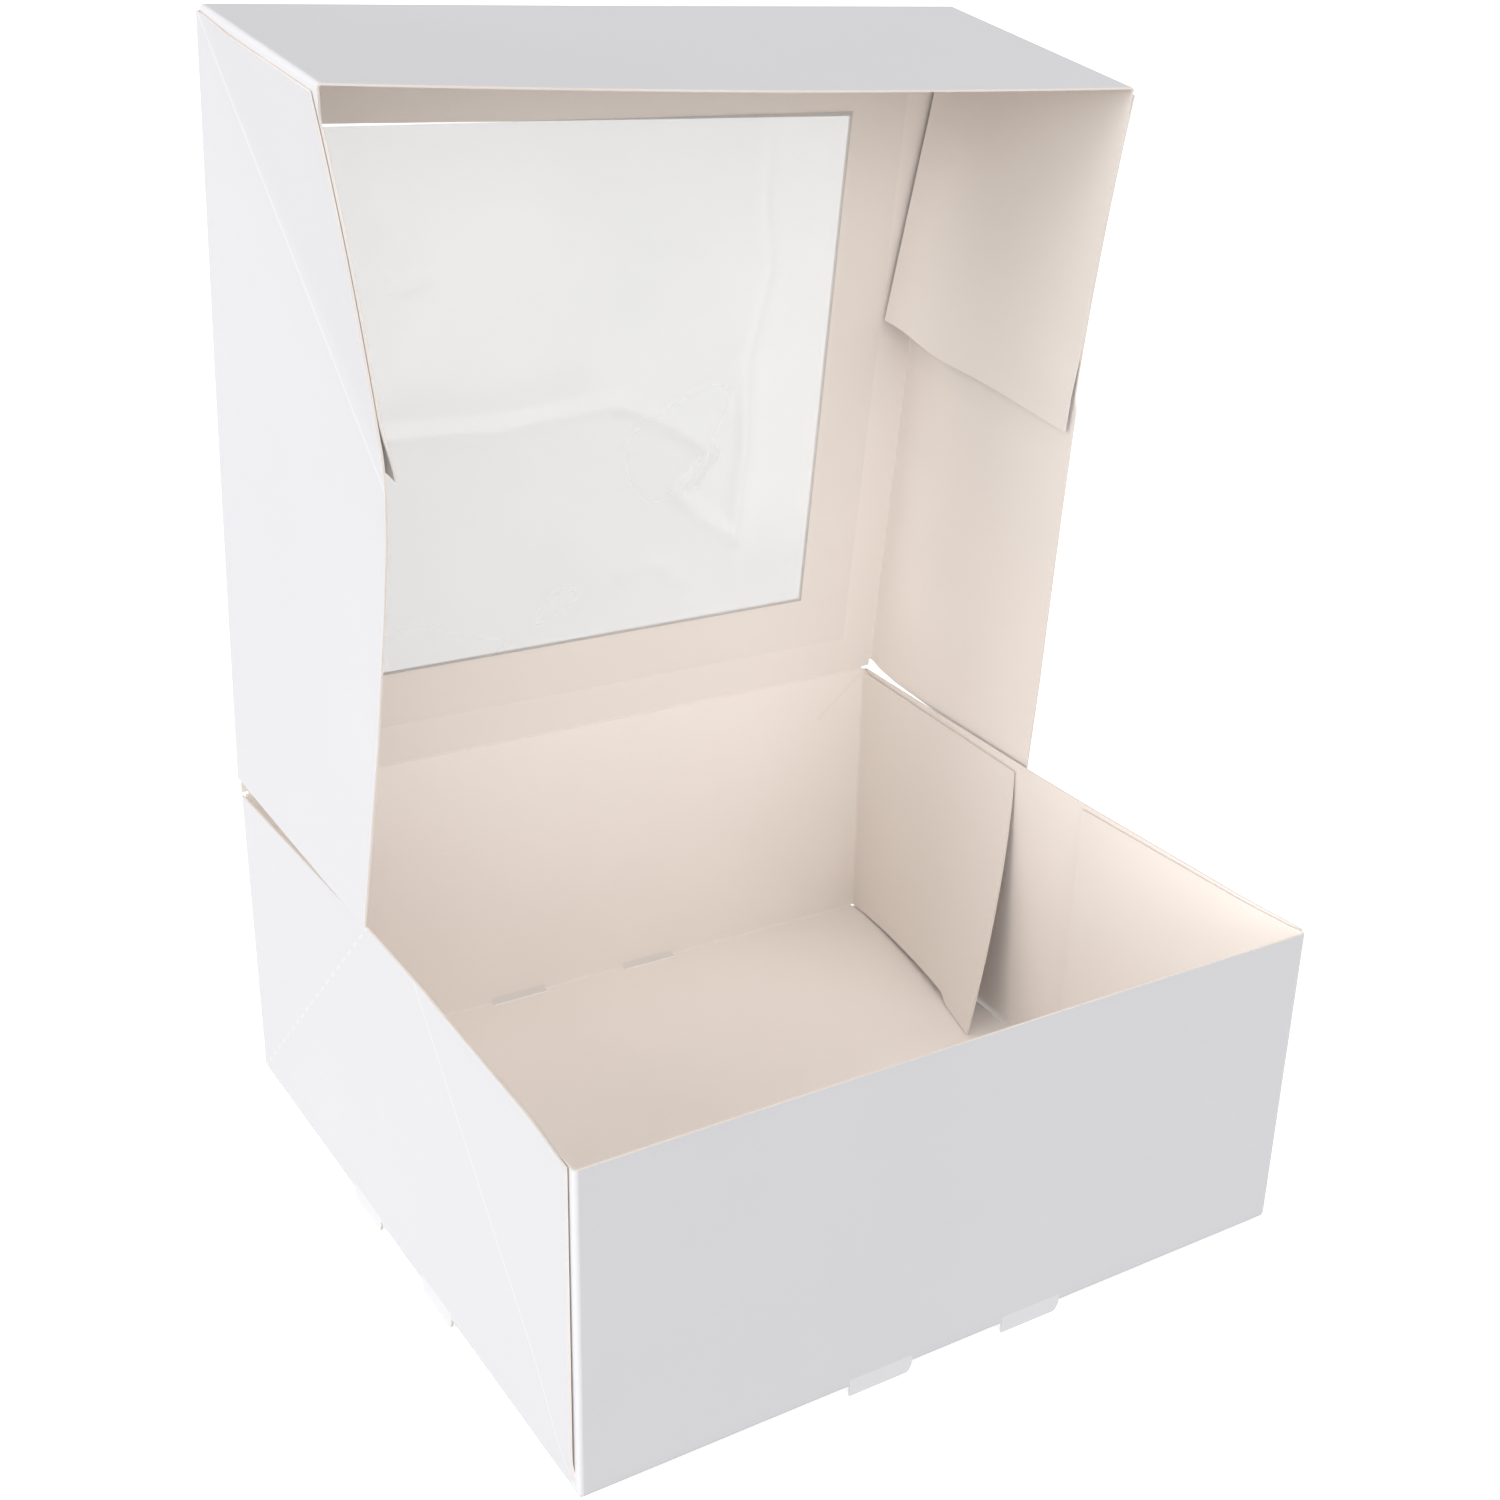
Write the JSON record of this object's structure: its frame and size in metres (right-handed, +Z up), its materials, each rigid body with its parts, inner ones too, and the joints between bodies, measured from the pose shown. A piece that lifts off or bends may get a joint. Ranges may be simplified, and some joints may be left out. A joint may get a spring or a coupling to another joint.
{
  "type": "pastry box with window",
  "caption": "Square folding paperboard pastry carton with a hinged tuck-over lid and a clear window, standing open on small feet.",
  "frame": {"origin": "on the ground under the centre of the tray, between the feet", "axes": "+Z up, +Y towards the hinged back wall, -Y towards the front wall, +X to the right seen from the front"},
  "size_m": [0.2034, 0.1984, 0.2883],
  "materials": {
    "tray_board": "smooth coated white outside, matt warm white inside",
    "lid_board": "smooth coated white outside, matt warm white inside",
    "film": "clear glossy film"
  },
  "bodies": {
    "tray": {"tray": "tray_board"},
    "lid": {"lid": "lid_board", "window_film": "film"}
  },
  "joints": [
    {"name": "lid_hinge", "type": "hinge", "parent": "tray", "child": "lid", "pos_m": [0, 0.0992, 0.0884], "axis": [-1, 0, 0], "range_deg": [-83, 83]}
  ]
}
